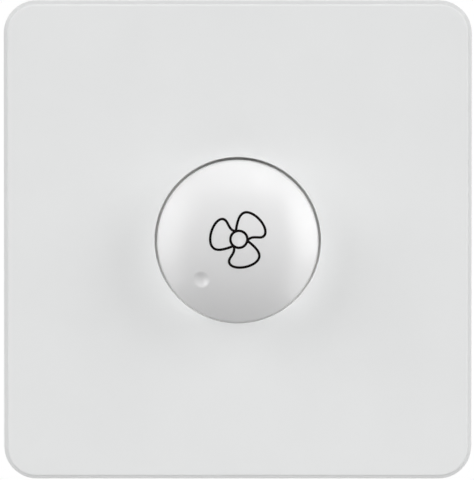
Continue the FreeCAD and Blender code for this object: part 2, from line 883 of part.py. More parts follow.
def knob():
    """A moulded shell with a hub that takes the shaft and ribs between the hub and the side."""
    wall = size.knob_wall
    half_wall = wall / 2
    hub_radius = size.hub_diameter / 2
    inner_shoulder = shoulder_radius - wall
    turned = Piece("knob")
    shell = [
        (-crown, 0, ARC),
        (-shoulder, shoulder_radius),
        (-knob_rim, rim_radius),
        (-knob_rim, rim_radius - wall),
        (-crown_depth(inner_shoulder, wall), inner_shoulder, ARC),
        (wall - crown, 0),
    ]
    turned.turn("Shell", [outline(shell)])
    turned.soften("Fillet", "Shoulder", size.shoulder_round, outer_shoulder)
    turned.pad("Hub", [circle(hub_radius)], hub_rear, crown - half_wall)
    rib_rear = hub_rear + size.rib_setback
    rib_inner = hub_radius - half_wall
    rib_outer = shoulder_radius - half_wall
    rib_outline = [
        (-rib_rear, rib_inner),
        (-rib_rear, rib_outer),
        (-crown_depth(rib_outer, half_wall), rib_outer, ARC),
        (-crown_depth(rib_inner, half_wall), rib_inner),
    ]
    half_rib = size.rib_thickness / 2
    rib = turned.pad("Rib", [outline(rib_outline)], -half_rib, half_rib, SIDE_ON)
    turned.repeat_round("Ribs", rib, RIB_COUNT)
    bore = flatted_circle(shaft_radius + size.shaft_gap, shaft_flat_height + size.shaft_gap)
    turned.pocket("ShaftBore", [bore], hub_rear, shaft_tip + size.shaft_tip_gap / 2)

    # The finger dimple is a shallow bowl, sunk square to the crown
    half_width = size.dimple_diameter / 2
    bowl = (half_width * half_width / size.dimple_depth + size.dimple_depth) / 2
    stretch = (crown_radius + bowl - size.dimple_depth) / crown_radius
    dimple_radius = size.dimple_reach * stretch
    dimple_front = crown_centre + (crown_depth(size.dimple_reach, 0) - crown_centre) * stretch
    dimple = turned.body.newObject("PartDesign::SubtractiveSphere", "Dimple")
    tie(dimple, "Radius", bowl)
    tie(dimple, "Placement.Base.x", dimple_radius * cosine(size.dimple_angle))
    tie(dimple, "Placement.Base.y", -dimple_front)
    tie(dimple, "Placement.Base.z", dimple_radius * sine(size.dimple_angle))
    turned.soften("Fillet", "DimpleRim", size.dimple_round, dimple_rim)
    return turned


def crown_depth(radius, inset):
    """Depth of the crown's sphere, or of one inside it, at a distance from the knob's axis."""
    sphere = crown_radius - inset
    return crown_centre + root(sphere * sphere - radius * radius)


def outer_shoulder(edge):
    return at_depth(shoulder)(edge)


def dimple_rim(edge):
    """The one closed edge on the crown that doesn't run round the knob's axis."""
    extent = edge.BoundBox
    off_axis = abs(extent.Center.x) > TOUCH or abs(extent.Center.z) > TOUCH
    return edge.isClosed() and off_axis and extent.YMax < -shoulder.number


def pot_shaft():
    shaft = Piece("pot_shaft")
    collar_front = bush_rear - size.shaft_collar_gap
    shaft.pad("Rod", [circle(shaft_radius)], rotor_front, shaft_tip)
    shaft.soften("Chamfer", "TipEdge", size.shaft_tip_chamfer, at_depth(shaft_tip))
    collar = circle(size.shaft_collar / 2)
    shaft.pad("Collar", [collar], collar_front - size.shaft_collar_depth, collar_front)
    cut_height = shaft_radius - shaft_flat_height
    flat = box(size.shaft_diameter, cut_height, up=shaft_flat_height + cut_height / 2)
    shaft.pocket("Flat", [flat], hub_rear, shaft_tip)
    return shaft


def pot_rotor():
    rotor = Piece("pot_rotor")
    rotor.pad("Disc", [circle(size.rotor_diameter / 2)], rotor_rear, rotor_front)
    peg_end = can_rear - size.rotor_peg_reach
    rotor.pad("Peg", [circle(size.rotor_peg / 2)], peg_end, rotor_rear)
    return rotor


def pot_wiper():
    """A flat ring on the rotor, with two raised contacts that run on the wafer."""
    wiper = Piece("pot_wiper")
    ring = [circle(size.wiper_outer / 2), circle(size.wiper_inner / 2)]
    wiper.pad("Ring", ring, rotor_front, wiper_ring)
    width = size.wiper_contact_size
    contacts = [box(width, width, side * size.wiper_contact_reach) for side in SIDES]
    wiper.pad("Contacts", contacts, wiper_ring - size.wiper_thickness / 2, wiper_front)
    return wiper


def pot_bush():
    """The bush with its plate, and a lug that keeps it from turning in the panel."""
    bush = Piece("pot_bush")
    plate_radius = can_bore - size.can_fit
    bush.pad("Plate", [circle(plate_radius)], bush_rear, panel_rear)
    bush.pad("Bush", [circle(size.bush_diameter / 2)], panel_rear, bush_front)
    lug = box(size.lug_width, size.lug_height, up=-size.lug_reach)
    bush.pad("Lug", [lug], panel_rear, panel_rear + size.lug_depth)
    bush.pocket("Bore", [circle(shaft_radius + size.shaft_gap)], bush_rear, bush_front)
    return bush


def pot_washer():
    washer = Piece("pot_washer")
    hole = circle(size.bush_diameter / 2 + size.washer_gap)
    washer.pad("Ring", [circle(size.washer_diameter / 2), hole], panel_front, washer_front)
    return washer


def pot_nut():
    nut = Piece("pot_nut")
    half_side = math.radians(180 / NUT_SIDE_COUNT)
    corner_radius = size.nut_across_flats / 2 / math.cos(half_side)
    turns = [half_side * (2 * corner + 1) for corner in range(NUT_SIDE_COUNT)]
    corners = [(corner_radius * math.cos(a), corner_radius * math.sin(a)) for a in turns]
    hole = circle(size.bush_diameter / 2 + size.nut_gap)
    nut.pad("Hex", [outline(corners), hole], washer_front, nut_front)
    return nut


def pot_wafer():
    wafer = Piece("pot_wafer")
    wafer.pad("Disc", [circle(can_bore - size.can_fit)], wafer_rear, bush_rear)
    top = can_radius + size.tongue_length
    tongue = box(size.tongue_width, top, up=top / 2)
    wafer.pad("Tongue", [tongue], wafer_rear, bush_rear)
    wafer.pocket("Hole", [circle(size.wafer_hole / 2)], wafer_rear, bush_rear)
    return wafer


def pot_can():
    """A drawn cup round the wafer and the bush plate, with a window for the wafer's tongue."""
    can = Piece("pot_can")
    can.pad("Cup", [circle(can_radius)], can_rear, can_front)
    can.pocket("Inside", [circle(can_bore)], can_rear + size.can_wall, can_front)
    can.pocket("PegHole", [circle(size.can_hole / 2)], can_rear, can_rear + size.can_wall)
    window_width = size.tongue_width + 2 * size.tongue_gap
    window = box(window_width, can_radius, up=can_radius / 2 + size.can_wall)
    can.pocket("Window", [window], wafer_rear - size.tongue_gap, can_front)
    return can


def pot_terminals():
    """Three bent tags, riveted to the wafer's tongue and soldered into the board."""
    foot = tag_height - size.tag_foot
    bent = tag_height - size.tag_thickness
    tag_rear = wafer_rear - size.tag_thickness
    profile = [
        (-wafer_rear, foot),
        (-wafer_rear, tag_height),
        (-lead_end, tag_height),
        (-lead_end, bent),
        (-tag_rear, bent),
        (-tag_rear, foot),
    ]
    tags = []
    for step in LEFT_TO_RIGHT:
        across = step * size.tag_pitch
        tag = Piece("pot_terminal")
        left = across - size.tag_width / 2
        tag.pad("Tag", [outline(profile)], left, left + size.tag_width, SIDE_ON)
        lead_hole(size.tag_width / 2, across, tag_height - size.tag_thickness / 2)
        tags.append(tag)
    return tags


def switch_body():
    switch = Piece("switch_body")
    switch.pad("Case", [circle(size.switch_diameter / 2)], switch_rear, can_rear)
    recess = circle(size.switch_recess / 2)
    switch.pocket("Recess", [recess], can_rear - size.switch_recess_depth, can_rear)
    return switch


def switch_terminals():
    pins = []
    for side in SIDES:
        across = side * size.switch_pin_pitch / 2
        pin = Piece("switch_terminal")
        blade = box(size.switch_pin_width, size.switch_pin_thickness, across)
        pin.pad("Pin", [blade], lead_end, switch_rear)
        lead_hole(size.switch_pin_width / 2, across, 0)
        pins.append(pin)
    return pins


def heat_sink():
    """An extruded comb that stands on the board, tapped for the screw of the triac."""
    sink = Piece("heat_sink")
    half = size.sink_width / 2
    fin = size.sink_fin_thickness
    pitch = (size.sink_width - fin) / (FIN_COUNT - 1)
    comb = [(half, sink_high), (-half, sink_high)]
    for number in range(FIN_COUNT):
        left = number * pitch - half
        if number > 0:
            comb.append((left, sink_base_low))
        comb.append((left, sink_low))
        comb.append((left + fin, sink_low))
        if number < FIN_COUNT - 1:
            comb.append((left + fin, sink_base_low))
    sink.pad("Comb", [outline(comb)], board_front, sink_front)
    tapped = circle(size.triac_screw_shank / 2 + size.screw_thread_gap, 0, -triac_hole_depth)
    sink.pocket("Tapped", [tapped], sink_base_low, sink_high, PLAN)
    return sink


def triac_body():
    triac = Piece("triac_body")
    case = box(size.triac_width, size.triac_thickness, up=sink_high + size.triac_thickness / 2)
    triac.pad("Case", [case], sink_front - size.triac_length, sink_front)
    hole = circle(size.triac_hole / 2, 0, -triac_hole_depth)
    triac.pocket("Hole", [hole], sink_high, triac_high, PLAN)
    return triac


def triac_leads():
    legs = []
    up = sink_high + size.triac_thickness / 2
    for step in LEFT_TO_RIGHT:
        across = step * size.triac_leg_pitch
        leg = Piece("triac_lead")
        section = box(size.triac_leg_width, size.triac_leg_thickness, across, up)
        leg.pad("Leg", [section], lead_end, sink_front - size.triac_length)
        lead_hole(size.triac_leg_width / 2, across, up)
        legs.append(leg)
    return legs


def triac_screw():
    screw = Piece("triac_screw")
    head = circle(size.triac_screw_head / 2, 0, -triac_hole_depth)
    shank = circle(size.triac_screw_shank / 2, 0, -triac_hole_depth)
    head_high = triac_high + size.triac_screw_head_depth
    screw.pad("Head", [head], triac_high, head_high, PLAN)
    screw.pad("Shank", [shank], sink_base_low + size.triac_screw_end_gap, triac_high, PLAN)
    drive = box(size.triac_screw_head, size.drive_slot_width, up=-triac_hole_depth)
    screw.pocket("Drive", [drive], head_high - size.drive_slot_depth, head_high, PLAN)
    return screw


def film_capacitor():
    capacitor = Piece("film_capacitor")
    case = rounded_box(
        size.capacitor_width,
        size.capacitor_thickness,
        size.capacitor_round,
        capacitor_across,
        capacitor_up,
    )
    front = board_front + size.capacitor_height
    capacitor.pad("Case", [case], board_front, front)
    capacitor.soften("Fillet", "CaseEdge", size.capacitor_round, at_depth(front))
    return capacitor


def capacitor_leads():
    leads = []
    radius = size.capacitor_lead / 2
    for side in SIDES:
        across = capacitor_across + side * size.capacitor_pitch / 2
        lead = Piece("capacitor_lead")
        lead.pad("Wire", [circle(radius, across, capacitor_up)], lead_end, board_front)
        lead_hole(radius, across, capacitor_up)
        leads.append(lead)
    return leads


def choke_section(inner, outer, rear, front):
    return outline([(-front, inner), (-front, outer), (-rear, outer), (-rear, inner)])


def choke_core():
    core = Piece("choke_core")
    rear = board_front + size.choke_wire
    section = choke_section(
        size.choke_hole / 2, size.choke_diameter / 2, rear, rear + size.choke_height
    )
    core.turn("Ring", [section], choke_across, (0, choke_up))
    return core


def choke_winding():
    """The wire's turns as one sleeve round most of the ring, with its two ends in the board."""
    winding = Piece("choke_winding")
    wire = size.choke_wire
    gap = size.choke_wire_gap
    inner = size.choke_hole / 2
    outer = size.choke_diameter / 2
    rear = board_front + wire
    front = rear + size.choke_height
    turns = choke_section(inner - wire, outer + wire, board_front, front + wire)
    room = choke_section(inner - gap, outer + gap, rear - gap, front + gap)
    sleeve = winding.turn(
        "Turns", [turns, room], choke_across, (0, choke_up), size.choke_winding_angle
    )
    doc.recompute()
    middle = (inner + outer) / 2
    sleeve_middle = sleeve.Shape.CenterOfMass
    for end in SIDES:
        angle = choke_end_angle(end, sleeve_middle)
        across = choke_across + middle * math.cos(angle)
        up = choke_up + middle * math.sin(angle)
        winding.pad("End", [circle(wire / 2, across, up)], lead_end, rear - gap)
        lead_hole(wire / 2, across, up)
    return winding


def choke_end_angle(end, sleeve_middle):
    """The direction, seen from the front, of the middle of the sleeve's turns near one end."""
    toward_middle = math.atan2(
        sleeve_middle.z - choke_up.number, sleeve_middle.x - choke_across.number
    )
    half_turn = size.choke_winding_angle.number / 2 - size.choke_end_angle.number
    return toward_middle + end * math.radians(half_turn)


def axial_part(label, across, up, diameter, length, pitch):
    """A component that lies on the board, on a wire bent down into it at both ends."""
    part = Piece(label)
    wire = size.axial_lead / 2
    depth = board_front + size.axial_board_gap + diameter / 2
    low = up - pitch / 2
    high = up + pitch / 2
    path = bridge(-lead_end, -depth, low, high, size.axial_bend)
    part.pipe("Wire", path, across, circle(wire, across, low), lead_end)
    body = circle(diameter / 2, across, -depth)
    part.pad("Body", [body], up - length / 2, up + length / 2, PLAN)
    lead_hole(wire, across, low)
    lead_hole(wire, across, high)
    return part


def resistors():
    return [
        axial_part(
            "resistor",
            -axial_across,
            height,
            size.resistor_diameter,
            size.resistor_length,
            size.resistor_pitch,
        )
        for height in (upper_resistor_up, lower_resistor_up)
    ]


def diac():
    return axial_part(
        "diac",
        axial_across,
        diac_up,
        size.diac_diameter,
        size.diac_length,
        size.diac_pitch,
    )


def wire_terminal(label, side):
    """A brass block with a bore for the wire, a clamp-screw hole and a peg in the board."""
    block = Piece(label)
    across = side * size.terminal_spacing / 2
    section = box(size.terminal_width, size.terminal_height, across, terminal_up)
    block.pad("Block", [section], terminal_rear, board_rear)
    peg = circle(size.terminal_peg / 2, across, terminal_up)
    block.pad("Peg", [peg], board_rear, board_front - size.lead_short)
    lead_hole(size.terminal_peg / 2, across, terminal_up)
    bore = circle(size.terminal_bore / 2, across, wire_up)
    block.pocket("WireBore", [bore], terminal_rear, terminal_rear + size.terminal_bore_depth)
    clamp_hole = size.clamp_screw_shank / 2 + size.screw_thread_gap
    hole = circle(clamp_hole, across, -clamp_screw_depth)
    block.pocket("ClampHole", [hole], terminal_low, wire_up, PLAN)
    return block


def terminal_screws():
    """Clamp screws, backed off so that the wire bores are free."""
    screws = []
    seat = terminal_low - size.clamp_screw_head_gap
    low = seat - size.clamp_screw_head_depth
    tip = wire_up - size.terminal_bore / 2 - size.clamp_screw_bore_gap
    for side in SIDES:
        across = side * size.terminal_spacing / 2
        screw = Piece("terminal_screw")
        head = circle(size.clamp_screw_head / 2, across, -clamp_screw_depth)
        shank = circle(size.clamp_screw_shank / 2, across, -clamp_screw_depth)
        screw.pad("Head", [head], low, seat, PLAN)
        screw.pad("Shank", [shank], seat, tip, PLAN)
        drive = box(size.clamp_screw_head, size.drive_slot_width, across, -clamp_screw_depth)
        screw.pocket("Drive", [drive], low, low + size.drive_slot_depth, PLAN)
        screws.append(screw)
    return screws


def circuit_board():
    board = Piece("circuit_board")
    sheet_outline = rounded_box(board_width, board_height, size.board_corner)
    board.pad("Sheet", [sheet_outline], board_rear, board_front)
    holes = [circle(*hole) for hole in board_holes]
    board.pocket("LeadHoles", holes, board_rear, board_front)
    return board


SINGLE_PIECES = [
    front_plate,
    mounting_frame,
    rear_housing,
    knob,
    pot_shaft,
    pot_rotor,
    pot_wiper,
    pot_bush,
    pot_washer,
    pot_nut,
    pot_wafer,
    pot_can,
    switch_body,
    heat_sink,
    triac_body,
    triac_screw,
    film_capacitor,
    choke_core,
    choke_winding,
    diac,
]
GROUPED_PIECES = [
    housing_screws,
    pot_terminals,
    switch_terminals,
    triac_leads,
    capacitor_leads,
    resistors,
    terminal_screws,
]

finished = [(make().body, 1) for make in SINGLE_PIECES]
for make in GROUPED_PIECES:
    members = make()
    finished.append((group(make.__name__, members), len(members)))
for label, side in (("line_terminal", -1), ("load_terminal", 1)):
    finished.append((wire_terminal(label, side).body, 1))
finished.append((circuit_board().body, 1))
doc.recompute()

# Nothing is written unless every step worked and every piece is sound
failed = [item.Label for item in doc.Objects if {"Invalid", "Error"} & set(item.State)]
loose = [
    item.Label
    for item in doc.Objects
    if item.TypeId == "Sketcher::SketchObject" and not item.FullyConstrained
]
unsound = [
    item.Label
    for item, count in finished
    if item.Shape.isNull() or not item.Shape.isValid() or len(item.Shape.Solids) != count
]
if failed or loose or unsound:
    raise RuntimeError(f"failed {failed}, loose sketches {loose}, unsound pieces {unsound}")

os.makedirs("parts", exist_ok=True)
for item, count in finished:
    item.Shape.exportStep(os.path.join("parts", item.Label + ".step"))
    print(item.Label, count, round(item.Shape.Volume, 2))
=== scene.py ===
# %% [markdown]
# A wall control for a ceiling fan: a pale square plate with a domed turning knob. The shapes come
# from an engineering model, which is loaded first and stays as it is. What Blender adds is the
# printed sign on the knob, the finishes, the light and the camera, so this lesson is mostly about
# how near-white plastic can be made to look like plastic and not like paper.

# %% Load the engineering model
import math

import bmesh
import bpy
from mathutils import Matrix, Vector


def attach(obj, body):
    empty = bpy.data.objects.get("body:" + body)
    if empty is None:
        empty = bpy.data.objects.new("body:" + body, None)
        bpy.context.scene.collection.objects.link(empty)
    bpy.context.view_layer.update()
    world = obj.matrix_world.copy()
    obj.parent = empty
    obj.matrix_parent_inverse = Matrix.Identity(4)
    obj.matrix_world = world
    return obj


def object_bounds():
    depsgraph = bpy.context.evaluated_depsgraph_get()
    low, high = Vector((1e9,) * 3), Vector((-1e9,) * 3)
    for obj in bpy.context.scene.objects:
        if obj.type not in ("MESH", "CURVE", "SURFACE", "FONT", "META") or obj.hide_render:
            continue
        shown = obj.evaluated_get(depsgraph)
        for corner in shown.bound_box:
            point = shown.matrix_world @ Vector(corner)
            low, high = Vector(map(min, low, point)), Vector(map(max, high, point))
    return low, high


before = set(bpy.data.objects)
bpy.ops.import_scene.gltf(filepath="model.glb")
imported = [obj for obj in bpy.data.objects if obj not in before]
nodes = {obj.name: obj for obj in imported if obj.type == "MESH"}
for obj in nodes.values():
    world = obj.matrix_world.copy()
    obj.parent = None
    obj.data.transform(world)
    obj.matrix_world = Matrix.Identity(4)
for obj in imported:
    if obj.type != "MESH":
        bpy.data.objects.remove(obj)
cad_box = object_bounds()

print("pieces loaded:", len(nodes), "box:", [[round(v, 4) for v in corner] for corner in cad_box])

# %% [markdown]
# Materials are node trees, and writing them by hand in Python gets long. Four small helpers keep
# each tree readable: one adds a node and sets its sockets, one blends two colours by a mask, one
# spreads a value over another range, and one starts a node group with named sockets. They do
# nothing that the node editor couldn't do with a few clicks.

# %% Helpers for node trees


def add(tree, kind, **sockets):
    """Add a node to a tree and set its input sockets, with _ in a name for a space."""
    made = tree.nodes.new(kind)
    for name, value in sockets.items():
        made.inputs[name.replace("_", " ")].default_value = value
    return made


def blend_colours(tree, mask, first, second):
    """Mix two colours by a mask and give the socket of the result."""
    mix = tree.nodes.new("ShaderNodeMix")
    mix.data_type = "RGBA"
    colours = [socket for socket in mix.inputs if socket.type == "RGBA"]
    colours[0].default_value = (*first, 1)
    colours[1].default_value = (*second, 1)
    tree.links.new(mask, mix.inputs["Factor"])
    return next(socket for socket in mix.outputs if socket.type == "RGBA")


def remap(tree, value, low, high):
    """Spread a 0 to 1 value over another range and give the socket of the result."""
    spread = add(tree, "ShaderNodeMapRange", To_Min=low, To_Max=high)
    tree.links.new(value, spread.inputs["Value"])
    return spread.outputs["Result"]


def new_group(name, inputs, outputs):
    """Make an empty shader node group with float inputs and outputs."""
    group = bpy.data.node_groups.new(name, "ShaderNodeTree")
    for label, start in inputs.items():
        socket = group.interface.new_socket(label, in_out="INPUT", socket_type="NodeSocketFloat")
        socket.default_value = start
    for label in outputs:
        group.interface.new_socket(label, in_out="OUTPUT", socket_type="NodeSocketFloat")
    return group, group.nodes.new("NodeGroupInput"), group.nodes.new("NodeGroupOutput")


print("helpers ready")

# %% [markdown]
# Moulded plastic is never quite even. The steel of the mould is spark-eroded, which leaves a grain
# of about a tenth of a millimetre, and the melt cools in broad, faint patches. One could paint both
# as images, but noise in object space needs no unwrapping and has its size in metres, so it suits a
# part whose sizes are known. The group gives the grain as a height and the patches as a mask, and
# every plastic below uses it with its own sizes.

# %% Node group: moulded grain
moulded_grain, into, out = new_group(
    "moulded_grain", {"Grain Scale": 6000.0, "Patch Scale": 60.0}, ["Height", "Patch"]
)
place = moulded_grain.nodes.new("ShaderNodeTexCoord")
grain = add(moulded_grain, "ShaderNodeTexNoise", Detail=3.0, Roughness=0.6)
patch = add(moulded_grain, "ShaderNodeTexNoise", Detail=2.0, Roughness=0.5)
soft = add(moulded_grain, "ShaderNodeMapRange", From_Min=0.3, From_Max=0.7)
for noise, scale in ((grain, "Grain Scale"), (patch, "Patch Scale")):
    moulded_grain.links.new(place.outputs["Object"], noise.inputs["Vector"])
    moulded_grain.links.new(into.outputs[scale], noise.inputs["Scale"])
moulded_grain.links.new(patch.outputs["Fac"], soft.inputs["Value"])
moulded_grain.links.new(grain.outputs["Fac"], out.inputs["Height"])
moulded_grain.links.new(soft.outputs["Result"], out.inputs["Patch"])
print("group:", moulded_grain.name, len(moulded_grain.nodes), "nodes")

# %% [markdown]
# Drawn, turned and rolled metal carries fine lines. On the real pieces they run round a turned
# shaft or along a drawn strip. A noise that is squeezed hard along one axis gives such lines: the
# three stretch inputs say how finely it changes along X, Y and Z. A second, broad noise is the
# cloudy bloom of thin plating.

# %% Node group: tool lines
tool_lines, into, out = new_group(
    "tool_lines",
    {"Across X": 400.0, "Across Y": 9000.0, "Across Z": 400.0, "Bloom Scale": 250.0},
    ["Line", "Bloom"],
)
place = tool_lines.nodes.new("ShaderNodeTexCoord")
stretch = tool_lines.nodes.new("ShaderNodeCombineXYZ")
squeezed = tool_lines.nodes.new("ShaderNodeVectorMath")
squeezed.operation = "MULTIPLY"
line = add(tool_lines, "ShaderNodeTexNoise", Scale=1.0, Detail=4.0, Roughness=0.6)
bloom = add(tool_lines, "ShaderNodeTexNoise", Detail=2.0)
for axis in "XYZ":
    tool_lines.links.new(into.outputs["Across " + axis], stretch.inputs[axis])
tool_lines.links.new(place.outputs["Object"], squeezed.inputs[0])
tool_lines.links.new(stretch.outputs["Vector"], squeezed.inputs[1])
tool_lines.links.new(squeezed.outputs["Vector"], line.inputs["Vector"])
tool_lines.links.new(place.outputs["Object"], bloom.inputs["Vector"])
tool_lines.links.new(into.outputs["Bloom Scale"], bloom.inputs["Scale"])
tool_lines.links.new(line.outputs["Fac"], out.inputs["Line"])
tool_lines.links.new(bloom.outputs["Fac"], out.inputs["Bloom"])
print("group:", tool_lines.name, len(tool_lines.nodes), "nodes")

# %% [markdown]
# Circuit boards and the wafer of the potentiometer are sheets of cloth in resin, and the weave
# shows through as a faint grid. Two sets of bands at right angles, multiplied, give that grid.

# %% Node group: laminate weave
laminate_weave, into, out = new_group("laminate_weave", {"Thread Scale": 300.0}, ["Weave"])
place = laminate_weave.nodes.new("ShaderNodeTexCoord")
crossing = laminate_weave.nodes.new("ShaderNodeMath")
crossing.operation = "MULTIPLY"
for index, direction in enumerate(("X", "Z")):
    threads = add(laminate_weave, "ShaderNodeTexWave", Distortion=1.5, Detail=1.0)
    threads.bands_direction = direction
    laminate_weave.links.new(place.outputs["Object"], threads.inputs["Vector"])
    laminate_weave.links.new(into.outputs["Thread Scale"], threads.inputs["Scale"])
    laminate_weave.links.new(threads.outputs["Fac"], crossing.inputs[index])
laminate_weave.links.new(crossing.outputs["Value"], out.inputs["Weave"])
print("group:", laminate_weave.name, len(laminate_weave.nodes), "nodes")

# %% [markdown]
# The first finish is the plastic itself. Its colour moves between two very close tones with the
# patches, its roughness follows the grain a little, and the grain is also a shallow bump. A gloss
# is a value that is the same all over, so coat and refraction are set on the shader.

# %% Moulded plastics
GRAIN_STRENGTH = 0.3
PLASTIC_IOR = 1.5
COAT_ROUGHNESS = 0.22


def use_group(tree, group, values):
    """Place a node group in a material with its own values."""
    made = tree.nodes.new("ShaderNodeGroup")
    made.node_tree = group
    for name, value in values.items():
        made.inputs[name].default_value = value
    return made


def raise_bump(tree, shader, height, strength, distance):
    """Let a height show as a bump of a given depth in metres."""
    bump = add(tree, "ShaderNodeBump", Strength=strength, Distance=distance)
    tree.links.new(height, bump.inputs["Height"])
    tree.links.new(bump.outputs["Normal"], shader.inputs["Normal"])


def new_material(name):
    """Make a material and give it with its node tree and its shader."""
    material = bpy.data.materials.new(name)
    material.use_nodes = True
    return material, material.node_tree, material.node_tree.nodes["Principled BSDF"]


def moulded_plastic(name, pale, deep, rough, grain_scale, relief, coat=0.0, patch_scale=60.0):
    """A moulded plastic: two close tones, a range of roughness, a grain size and its depth."""
    material, tree, shader = new_material(name)
    texture = use_group(
        tree, moulded_grain, {"Grain Scale": grain_scale, "Patch Scale": patch_scale}
    )
    colour = blend_colours(tree, texture.outputs["Patch"], deep, pale)
    tree.links.new(colour, shader.inputs["Base Color"])
    tree.links.new(remap(tree, texture.outputs["Height"], *rough), shader.inputs["Roughness"])
    raise_bump(tree, shader, texture.outputs["Height"], GRAIN_STRENGTH, relief)
    shader.inputs["IOR"].default_value = PLASTIC_IOR
    shader.inputs["Coat Weight"].default_value = coat
    shader.inputs["Coat Roughness"].default_value = COAT_ROUGHNESS
    return material


finishes = {
    "front_plate": moulded_plastic(
        "cover_plastic", (0.775, 0.782, 0.782), (0.76, 0.767, 0.767), (0.42, 0.5), 5000.0, 4e-6
    ),
    "knob": moulded_plastic(
        "knob_plastic", (0.79, 0.79, 0.793), (0.775, 0.775, 0.778), (0.42, 0.48), 4000.0, 2e-6, 0.6
    ),
    "mounting_frame": moulded_plastic(
        "frame_plastic", (0.76, 0.76, 0.75), (0.73, 0.73, 0.715), (0.5, 0.62), 2500.0, 1.2e-5
    ),
    "rear_housing": moulded_plastic(
        "housing_plastic", (0.73, 0.73, 0.715), (0.695, 0.695, 0.675), (0.52, 0.66), 2200.0, 1.6e-5
    ),
    "switch_body": moulded_plastic(
        "switch_phenolic", (0.035, 0.033, 0.032), (0.022, 0.021, 0.02), (0.4, 0.55), 2600.0, 1e-5
    ),
    "triac_body": moulded_plastic(
        "triac_epoxy", (0.03, 0.03, 0.032), (0.02, 0.02, 0.021), (0.45, 0.6), 3200.0, 8e-6
    ),
    "film_capacitor": moulded_plastic(
        "capacitor_case", (0.62, 0.36, 0.045), (0.55, 0.31, 0.035), (0.3, 0.4), 2400.0, 6e-6
    ),
    "choke_core": moulded_plastic(
        "core_ferrite", (0.05, 0.05, 0.053), (0.03, 0.03, 0.032), (0.5, 0.7), 4200.0, 8e-6
    ),
    "resistors": moulded_plastic(
        "resistor_coat", (0.2, 0.38, 0.5), (0.16, 0.33, 0.44), (0.28, 0.38), 1800.0, 5e-6
    ),
    "diac": moulded_plastic(
        "diac_glass", (0.32, 0.06, 0.03), (0.26, 0.045, 0.022), (0.1, 0.18), 1500.0, 2e-6
    ),
    "pot_rotor": moulded_plastic(
        "rotor_plastic", (0.03, 0.03, 0.03), (0.02, 0.02, 0.02), (0.4, 0.5), 2600.0, 8e-6
    ),
}
print("plastics:", len(finishes))

# %% [markdown]
# Metals come next. Their colour sits in the Base Color with Metallic at 1. The bloom changes the
# tone and the lines change the roughness, which is what the eye reads as a brushed or turned face.
# Copper wire, brass terminals, zinc-plated screws and tinned leads differ only in their values.

# %% Metals
LINE_STRENGTH = 0.4
LINE_RELIEF = 1.5e-6
TURNED = {"Across X": 500.0, "Across Y": 9000.0, "Across Z": 500.0}
DRAWN = {"Across X": 7000.0, "Across Y": 500.0, "Across Z": 7000.0}
ROLLED = {"Across X": 7000.0, "Across Y": 7000.0, "Across Z": 500.0}


def worked_metal(name, bright, dull, rough, lines):
    """A metal with tool lines: two tones, a range of roughness and the direction of its lines."""
    material, tree, shader = new_material(name)
    texture = use_group(tree, tool_lines, lines)
    colour = blend_colours(tree, texture.outputs["Bloom"], dull, bright)
    tree.links.new(colour, shader.inputs["Base Color"])
    tree.links.new(remap(tree, texture.outputs["Line"], *rough), shader.inputs["Roughness"])
    raise_bump(tree, shader, texture.outputs["Line"], LINE_STRENGTH, LINE_RELIEF)
    shader.inputs["Metallic"].default_value = 1.0
    return material


zinc = worked_metal("screw_steel", (0.62, 0.63, 0.65), (0.5, 0.51, 0.52), (0.25, 0.42), TURNED)
nickel = worked_metal("bush_brass", (0.66, 0.63, 0.56), (0.55, 0.52, 0.46), (0.2, 0.34), TURNED)
tin = worked_metal("tinned_lead", (0.68, 0.68, 0.68), (0.56, 0.56, 0.56), (0.28, 0.45), DRAWN)
brass = worked_metal("terminal_brass", (0.74, 0.52, 0.22), (0.64, 0.43, 0.17), (0.22, 0.4), DRAWN)
finishes.update(
    {
        "housing_screws": zinc,
        "triac_screw": zinc,
        "terminal_screws": zinc,
        "pot_bush": nickel,
        "pot_washer": nickel,
        "pot_nut": nickel,
        "pot_terminals": tin,
        "switch_terminals": tin,
        "triac_leads": tin,
        "capacitor_leads": tin,
        "line_terminal": brass,
        "load_terminal": brass,
        "pot_can": worked_metal(
            "can_steel", (0.6, 0.61, 0.62), (0.5, 0.51, 0.52), (0.28, 0.44), DRAWN
        ),
        "heat_sink": worked_metal(
            "sink_aluminium", (0.72, 0.73, 0.74), (0.62, 0.63, 0.64), (0.3, 0.48), DRAWN
        ),
        "pot_shaft": worked_metal(
            "shaft_aluminium", (0.75, 0.76, 0.77), (0.64, 0.65, 0.66), (0.22, 0.36), TURNED
        ),
        "choke_winding": worked_metal(
            "winding_copper", (0.6, 0.22, 0.08), (0.46, 0.15, 0.05), (0.2, 0.34), ROLLED
        ),
        "pot_wiper": worked_metal(
            "wiper_brass", (0.74, 0.52, 0.22), (0.62, 0.42, 0.17), (0.24, 0.4), ROLLED
        ),
    }
)
print("finishes so far:", len(finishes))

# %% [markdown]
# The two laminates are the green circuit board and the brown wafer that carries the resistance
# track. The weave changes the tone of the resin a little and stands up as a bump of a few microns.

# %% Laminates
WEAVE_STRENGTH = 0.4
WEAVE_RELIEF = 6e-6


def laminate(name, pale, deep, rough, threads):
    """A woven sheet in resin: two close tones, a range of roughness and a thread scale."""
    material, tree, shader = new_material(name)
    texture = use_group(tree, laminate_weave, {"Thread Scale": threads})
    colour = blend_colours(tree, texture.outputs["Weave"], deep, pale)
    tree.links.new(colour, shader.inputs["Base Color"])
    tree.links.new(remap(tree, texture.outputs["Weave"], *rough), shader.inputs["Roughness"])
    raise_bump(tree, shader, texture.outputs["Weave"], WEAVE_STRENGTH, WEAVE_RELIEF)
    return material


